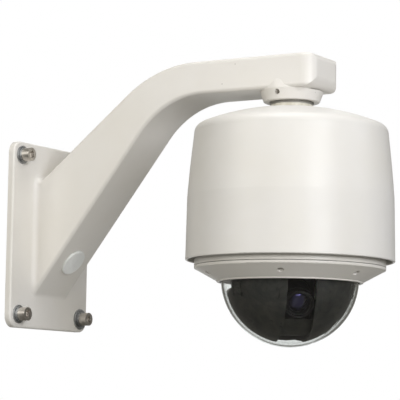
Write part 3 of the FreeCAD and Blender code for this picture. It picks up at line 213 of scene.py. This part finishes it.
def plastic(name, colour, roughness, grain=1400, depth=0.00003):
    """Moulded plastic with a fine texture and faint flow marks."""
    s = Shader(name)
    s.set(Roughness=roughness, Specular_IOR_Level=0.5)
    flow = s.noise(40, 4, 0.6, 0.6)
    base = s.blend(s.remap(flow, 0.35, 0.7), colour, tuple(c * 0.85 for c in colour))
    s.feed("Base Color", base)
    s.feed("Roughness", s.remap(flow, 0.3, 0.7, roughness * 0.9, min(1, roughness * 1.12)))
    s.bump(s.noise(grain, 2), depth, 0.6)
    return s.material


def circuit_board():
    """Green solder mask with tracks and pads."""
    s = Shader("circuit_board")
    s.set(Roughness=0.35, Coat_Weight=0.3)
    tracks = s.remap(s.cells(260, "DISTANCE_TO_EDGE"), 0.05, 0.08, 1, 0)
    pads = s.remap(s.cells(420), 0.16, 0.12)
    base = s.blend(tracks, (0.012, 0.11, 0.045), (0.02, 0.17, 0.07))
    base = s.blend(pads, base, (0.55, 0.52, 0.45))
    s.feed("Base Color", base)
    s.bump(tracks, 0.00004, 0.7)
    return s.material


def clear_plastic():
    """Clear polycarbonate of the bubble."""
    s = Shader("clear_polycarbonate")
    s.set(Base_Color=(0.97, 0.985, 0.98), Transmission_Weight=1.0, IOR=1.5, Roughness=0.0,
          Specular_Tint=(0.5, 0.5, 0.52))
    s.bump(s.noise(35, 2), 0.00004, 0.4)
    return s.material


def coated_glass():
    """Lens glass with a blue-violet coating."""
    s = Shader("coated_lens_glass")
    s.set(IOR=1.8, Roughness=0.10, Specular_Tint=(0.36, 0.33, 1.0), Specular_IOR_Level=1.0)
    s.feed("Base Color", s.blend(s.noise(60), (0.036, 0.035, 0.033), (0.048, 0.046, 0.044)))
    return s.material


def liner():
    """Black inner dome: satin and dusty, with darker scuffs and small pale scratches."""
    s = Shader("liner_black")
    s.set(Roughness=0.55, Specular_IOR_Level=0.25)
    dust = s.remap(s.noise(30, 5, 0.7, 0.6), 0.36, 0.66)
    base = s.blend(dust, (0.036, 0.0365, 0.0365), (0.092, 0.090, 0.077))
    scuffs = s.remap(s.noise(46, 4, 0.7, 2.4), 0.60, 0.66)
    base = s.blend(s.maths("MULTIPLY", scuffs, 0.75), base, (0.014, 0.014, 0.014))
    scratches = s.cells(85, "DISTANCE_TO_EDGE", vector=s.stretch(1, 1, 0.35))
    scratches = s.remap(scratches, 0.012, 0.004)
    scratches = s.maths("MULTIPLY", scratches, s.remap(s.noise(55, 2), 0.62, 0.68, 0, 0.5))
    s.feed("Base Color", s.blend(scratches, base, (0.22, 0.215, 0.20)))
    s.feed("Roughness", s.remap(dust, 0, 1, 0.48, 0.62))
    s.bump(s.noise(1700, 2), 0.00003, 0.5)
    return s.material


THREAD_START = (0.1416, 0.1420)  # heights between which the neck's paint ends


def neck_finish():
    """Cast neck, painted where it leaves the housing and bare where the thread begins."""
    s = Shader("painted_neck")
    s.set(Roughness=0.45)
    height = s.position()[2]
    ragged = s.maths("ADD", height, s.maths("MULTIPLY", s.noise(90, 3), 0.0012))
    bare = s.remap(ragged, *THREAD_START)
    worn = s.blend(s.remap(s.noise(160, 4), 0.4, 0.65), (0.72, 0.69, 0.61), (0.60, 0.565, 0.47))
    s.feed("Base Color", s.blend(bare, worn, (0.33, 0.32, 0.29)))
    s.feed("Metallic", s.maths("MULTIPLY", bare, 0.35))
    s.bump(s.noise(500, 3), 0.00005, 0.5)
    return s.material


CREAM = (0.765, 0.744, 0.712)
WHITE = (0.765, 0.752, 0.735)
# places and radii of the chips on the collar and the arm
CHIPS = (((0.3224, -0.0282, 0.1444), 0.0011), ((0.3274, -0.0304, 0.1437), 0.0009),
         ((0.3329, -0.0318, 0.1438), 0.0009), ((0.3715, -0.0075, 0.1533), 0.0010),
         ((0.2662, -0.035, 0.1662), 0.0006), ((0.2830, -0.035, 0.1880), 0.0006))
# painted shade: dark spots in the recesses round the trim screws, standing in for the shade there
RECESS_RING, RECESS_HEIGHT, RECESS_SHADE_RADIUS = 0.095, -0.0475, 0.0052
RECESS_ANGLES = [math.radians(half + angle)
                 for half in (0, 180) for angle in (-133.6, -67.7, -11.8)]
RECESS_PAINTED_SHADE = tuple(((REACH + RECESS_RING * math.cos(turn), RECESS_RING * math.sin(turn),
                RECESS_HEIGHT), RECESS_SHADE_RADIUS) for turn in RECESS_ANGLES)
MATERIALS = {
    "cast_paint": paint("cast_powder_coat", CREAM, 0.30, CHIPS + RECESS_PAINTED_SHADE),
    "shroud_paint": paint("shroud_powder_coat", WHITE, 0.10),
    "plug_plastic": plastic("grey_plug_plastic", (0.92, 0.935, 0.92), 0.42),
    "bolt_steel": metal("stainless_steel", (0.68, 0.645, 0.60), 0.33),
    "washer_zinc": metal("dull_zinc", (0.44, 0.45, 0.455), 0.45, amount=0.5),
    "neck_alloy": neck_finish(),
    "seal_rubber": plastic("black_seal_rubber", (0.018, 0.018, 0.018), 0.75, 500, 0.0001),
    "clear_dome": clear_plastic(),
    "liner_plastic": liner(),
    "camera_plastic": plastic("camera_black", (0.017, 0.0165, 0.0155), 0.42, 1500),
    "lens_glass": coated_glass(),
    "plain_steel": metal("zinc_plated_sheet", (0.52, 0.53, 0.54), 0.36, 120),
    "bearing_chrome": metal("bearing_steel", (0.62, 0.62, 0.62), 0.12, 400, amount=0.05),
    "alloy": metal("turned_alloy", (0.60, 0.60, 0.60), 0.32),
    "gear_plastic": plastic("natural_acetal", (0.74, 0.73, 0.67), 0.40),
    "brass": metal("turned_brass", (0.66, 0.47, 0.19), 0.25),
    "board": circuit_board(),
    "black_parts": plastic("moulded_black", (0.020, 0.020, 0.022), 0.5),
}
slot_of = {entry["node"]: entry["material_slot"] for entry in frame["record"]["subparts"]}
for name, thing in frame["nodes"].items():
    thing.data.materials.clear()
    thing.data.materials.append(MATERIALS[slot_of[name]])


# ------------------------------------------------------------------ pieces given their finer shape

def put(mesh, name, body, slot):
    """Adds a mesh as a piece of the object that rides on a body of the frame."""
    made = bpy.data.objects.new(name, mesh)
    bpy.context.scene.collection.objects.link(made)
    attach(made, body)
    if not mesh.materials:
        mesh.materials.append(MATERIALS[slot])
    return made


SHARP = math.radians(32)  # edges that turn by more than this are rounded
WELD = 1e-6
FLAT = math.radians(0.6)  # faces that turn by less than this are joined


def soften(node, width):
    """The same piece with its sharp edges rounded over."""
    mesh = frame["nodes"][node].data.copy()
    form = bmesh.new()
    form.from_mesh(mesh)
    bmesh.ops.remove_doubles(form, verts=form.verts, dist=WELD)
    bmesh.ops.dissolve_limit(form, angle_limit=FLAT, verts=form.verts, edges=form.edges)
    form.to_mesh(mesh)
    form.free()
    for stale in ("custom_normal", "sharp_edge", "sharp_face"):
        if stale in mesh.attributes:
            mesh.attributes.remove(mesh.attributes[stale])
    mesh.shade_smooth()
    mesh.set_sharp_from_angle(angle=SHARP)
    made = put(mesh, f"{node}_finished", frame["nodes"][node]["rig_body"], slot_of[node])
    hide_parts(node)
    rounding = made.modifiers.new("rounding", "BEVEL")
    rounding.width = width
    rounding.segments = 2
    rounding.limit_method = "ANGLE"
    rounding.angle_limit = SHARP
    rounding.harden_normals = True
    rounding.miter_outer = "MITER_ARC"
    return made


# how wide each rounded edge is
FINISH = {
    "wall_bolts": 0.0005, "flat_washers": 0.0003, "lock_washers": 0.0003, "trim_screws": 0.0002,
    "camera_body": 0.0008, "lens_barrel": 0.0005, "lens_front_ring": 0.0002,
    "arm_cable_plug": 0.0005, "collar_set_screw": 0.0002,
}
for name, width in FINISH.items():
    piece = soften(name, width)
    # painted shade: the trim screws get a near-black colour so that the recesses they sit in read
    # as shaded
    if name == "trim_screws":
        piece.data.materials[0] = metal("screw_steel_darkened_for_shade", (0.12, 0.115, 0.11), 0.5)


# ------------------------------------------------------------------ pieces the solids leave out

def thread(name, radius, rise, pitch, low, high, place, body, slot):
    """Helical thread ridge round a vertical cylinder, fading out at both ends."""
    steps, fading = 96, 24  # steps in a turn, and steps over which an end fades
    last = int((high - low) / pitch * steps)
    # height over the pitch, and how far out over the rise, round the ridge's section
    section = ((-0.42, -0.2), (-0.10, 1.0), (0.10, 1.0), (0.42, -0.2))
    form = bmesh.new()
    rows = []
    for step in range(last + 1):
        turn = 2 * math.pi * step / steps
        height = low + pitch * step / steps
        fade = min(1, step / fading, (last - step) / fading)
        row = []
        for up, out in section:
            reach = radius + rise * out * (fade if out > 0 else 1)
            row.append(form.verts.new((reach * math.cos(turn), reach * math.sin(turn),
                                       height + pitch * up)))
        rows.append(row)
    for row, after in zip(rows, rows[1:]):
        for one, two in zip(range(4), (1, 2, 3, 0)):
            form.faces.new((row[one], row[two], after[two], after[one]))
    form.faces.new(rows[0][::-1])
    form.faces.new(rows[-1])
    bmesh.ops.recalc_face_normals(form, faces=form.faces)
    mesh = bpy.data.meshes.new(name)
    form.to_mesh(mesh)
    form.free()
    mesh.transform(place)
    mesh.shade_smooth()
    mesh.set_sharp_from_angle(angle=math.radians(40))
    put(mesh, name, body, slot)


def bent_box(form, radius, azimuth, elevation, size, roll):
    """Small raised block on a sphere round the bubble's centre. Its size is across, up, out."""
    a, e = math.radians(azimuth), math.radians(elevation)
    out = Vector((math.cos(a) * math.cos(e), math.sin(a) * math.cos(e), math.sin(e)))
    side = Vector((-math.sin(a), math.cos(a), 0))
    place = Matrix((side, out.cross(side), out)).transposed().to_4x4()
    place.translation = out * radius
    spin = Matrix.Rotation(math.radians(roll), 4, "Z")
    bmesh.ops.create_cube(form, size=1.0, matrix=place @ spin @ Matrix.Diagonal((*size, 1)))


def liner_ribs():
    """Moulded ladders on both cheeks of the liner, each with five rungs between two rails."""
    form = bmesh.new()
    radius = 73.0 * MM
    # angles round the bubble's centre, in degrees
    cheek, rail_offset, rail_height, top_rung, rung_step = 65.0, 5.6, -12.0, -6.5, 2.8
    rung, rail = (13 * MM, 1.1 * MM, 1.6 * MM), (1.3 * MM, 15 * MM, 2.0 * MM)
    for side in (-1, 1):
        for step in range(5):
            bent_box(form, radius, side * cheek, top_rung - rung_step * step, rung, side * 6)
        for edge in (-rail_offset, rail_offset):
            bent_box(form, radius, side * cheek + edge, rail_height, rail, side * 4)
    mesh = bpy.data.meshes.new("liner_ribs")
    form.to_mesh(mesh)
    form.free()
    mesh.transform(PAN_HEAD_FRAME)
    made = put(mesh, "liner_ribs", "pan_head", "liner_plastic")
    soft = made.modifiers.new("rounding", "BEVEL")
    soft.width = 0.0003
    soft.segments = 2


thread("neck_thread", radius=24.13 * MM, rise=0.75 * MM, pitch=2.2 * MM, low=0.1409,
       high=0.1472, place=DOME_FRAME, body="mount_and_housing", slot="neck_alloy")
liner_ribs()


# ------------------------------------------------------------------ stage, light and camera

def area_light(name, place, target, size, power, colour):
    data = bpy.data.lights.new(name, "AREA")
    data.shape = "RECTANGLE"
    data.size, data.size_y = size
    data.energy = power
    data.color = colour
    lamp = bpy.data.objects.new(name, data)
    bpy.context.scene.collection.objects.link(lamp)
    lamp.location = place
    aim = Vector(target) - Vector(place)
    lamp.rotation_mode = "QUATERNION"
    lamp.rotation_quaternion = aim.to_track_quat("-Z", "Y")


COOL = (0.97, 0.985, 1.03)
WARM = (1.0, 0.98, 0.925)
# strengths of the world's even light, of its light from the front and the top, and of the
# white backdrop
HORIZON = 0.13
FRONT = 0.05
SKY = 0.10
BACKDROP = 0.95
# directions as the main view sees them
TO_RIGHT, TO_LEFT = (0.857, 0.515, 0), (-0.857, -0.515, 0)
BEHIND, DOWN, UP = (-0.515, 0.857, 0), (0, 0, -1), (0, 0, 1)
TO_VIEWER = (0.512, -0.852, -0.11)
FLOOR_HALF, FLOOR_HEIGHT = 5.0, -2.5


def studio():
    """Soft studio: a dim world with a white backdrop behind the object, and a pale floor."""
    world = bpy.data.worlds.new("studio")
    bpy.context.scene.world = world
    world.use_nodes = True
    tree = world.node_tree
    tree.nodes.clear()
    add, link = tree.nodes.new, tree.links.new
    way = add("ShaderNodeTexCoord").outputs["Generated"]

    def towards(direction, begin, end, strength):
        """Rises to a strength as the cosine to a direction goes from begin to end."""
        along = add("ShaderNodeVectorMath")
        along.operation = "DOT_PRODUCT"
        link(way, along.inputs[0])
        along.inputs[1].default_value = Vector(direction).normalized()
        ramp = add("ShaderNodeMapRange")
        ramp.interpolation_type = "SMOOTHSTEP"
        link(along.outputs["Value"], ramp.inputs[0])
        for index, number in enumerate((begin, end, 0.0, strength), start=1):
            ramp.inputs[index].default_value = number
        return ramp.outputs[0]

    def total(first, second, operation="ADD"):
        both = add("ShaderNodeMath")
        both.operation = operation
        for socket, value in zip(both.inputs, (first, second)):
            if isinstance(value, float):
                socket.default_value = value
            else:
                link(value, socket)
        return both.outputs[0]

    def product(first, second):
        return total(first, second, "MULTIPLY")

    strip = product(towards(TO_RIGHT, 0.27, 0.13, 1.0), towards(TO_LEFT, 0.27, 0.13, 1.0))
    strip = product(strip, towards(BEHIND, 0.4, 0.7, BACKDROP))
    strip = product(strip, towards(DOWN, 0.36, 0.2, 1.0))
    glow = total(towards(UP, -0.1, 1.0, SKY), towards(TO_VIEWER, -0.2, 0.9, FRONT))
    soft = add("ShaderNodeBackground")
    soft.inputs["Color"].default_value = (1, 0.955, 0.84, 1)
    link(total(glow, HORIZON), soft.inputs["Strength"])
    paper = add("ShaderNodeBackground")
    paper.inputs["Color"].default_value = (0.97, 0.995, 1, 1)
    link(strip, paper.inputs["Strength"])
    both = add("ShaderNodeAddShader")
    link(soft.outputs[0], both.inputs[0])
    link(paper.outputs[0], both.inputs[1])
    seen = add("ShaderNodeBackground")
    seen.inputs["Color"].default_value = (1, 1, 1, 1)
    mix = add("ShaderNodeMixShader")
    link(add("ShaderNodeLightPath").outputs["Is Camera Ray"], mix.inputs[0])
    link(both.outputs[0], mix.inputs[1])
    link(seen.outputs[0], mix.inputs[2])
    link(mix.outputs[0], add("ShaderNodeOutputWorld").inputs["Surface"])

    mesh = bpy.data.meshes.new("floor")
    corners = [(FLOOR_HALF * x, FLOOR_HALF * y, FLOOR_HEIGHT)
               for x, y in ((-1, -1), (1, -1), (1, 1), (-1, 1))]
    mesh.from_pydata(corners, [], [(0, 1, 2, 3)])
    ground = bpy.data.objects.new("floor", mesh)
    bpy.context.scene.collection.objects.link(ground)
    s = Shader("pale_floor")
    s.set(Roughness=0.9)
    s.feed("Base Color", s.blend(s.noise(3), (0.86, 0.86, 0.855), (0.88, 0.88, 0.875)))
    # to the camera alone the floor fades to white with distance, so that no edge is seen
    away = s.node("ShaderNodeVectorMath", operation="LENGTH")
    s.tree.links.new(s.place, away.inputs[0])
    glow = s.remap(away.outputs["Value"], 0.5, 4.5, 0.5, 1.0)
    seen = s.node("ShaderNodeLightPath").outputs["Is Camera Ray"]
    s.set(Emission_Color=(1, 1, 1))
    s.feed("Emission Strength", s.maths("MULTIPLY", glow, seen))
    mesh.materials.append(s.material)
    ground.visible_glossy = False
    ground.visible_transmission = False


MIDDLE = (0.24, 0, 0.03)


def lamp_at(name, azimuth, elevation, size, power, colour=(1, 1, 1), distance=2.6):
    """Soft box that looks at the object's middle. Azimuth is from +X towards +Y."""
    middle = Vector(MIDDLE)
    a, e = math.radians(azimuth), math.radians(elevation)
    way = Vector((math.cos(a) * math.cos(e), math.sin(a) * math.cos(e), math.sin(e)))
    area_light(name, middle + way * distance, middle, size, power, colour)


studio()
lamp_at("overhead", -60, 72, (1.1, 1.1), 10, distance=1.4)
lamp_at("key", -28, 13, (1.0, 1.0), 30.5, COOL)
lamp_at("side", 22, 16, (1.2, 1.2), 9, COOL)
lamp_at("front", -58, 10, (1.7, 1.0), 13, WARM)
lamp_at("fill", -112, 18, (1.5, 1.5), 19, WARM)

# the main view
AZIMUTH, ELEVATION, ROLL = (math.radians(31), math.radians(-6.2807), math.radians(0.9162))
VIEWPOINT = (1.3864, -1.9441, -0.2113)
FOCAL_LENGTH, SENSOR_WIDTH = 176.3694, 36  # millimetres
back = Vector((math.sin(AZIMUTH) * math.cos(ELEVATION), -math.cos(AZIMUTH) * math.cos(ELEVATION),
               math.sin(ELEVATION)))
right = (-back).cross(Vector((0, 0, 1))).normalized()
upward = right.cross(-back)
axis_x = math.cos(ROLL) * right + math.sin(ROLL) * upward
axis_y = -math.sin(ROLL) * right + math.cos(ROLL) * upward
data = bpy.data.cameras.new("view")
data.sensor_width = SENSOR_WIDTH
data.lens = FOCAL_LENGTH
camera = bpy.data.objects.new("view", data)
bpy.context.scene.collection.objects.link(camera)
turned = Matrix((axis_x, axis_y, back)).transposed()
camera.matrix_world = Matrix.Translation(VIEWPOINT) @ turned.to_4x4()
bpy.context.scene.camera = camera
bpy.context.scene.view_settings.view_transform = "Standard"
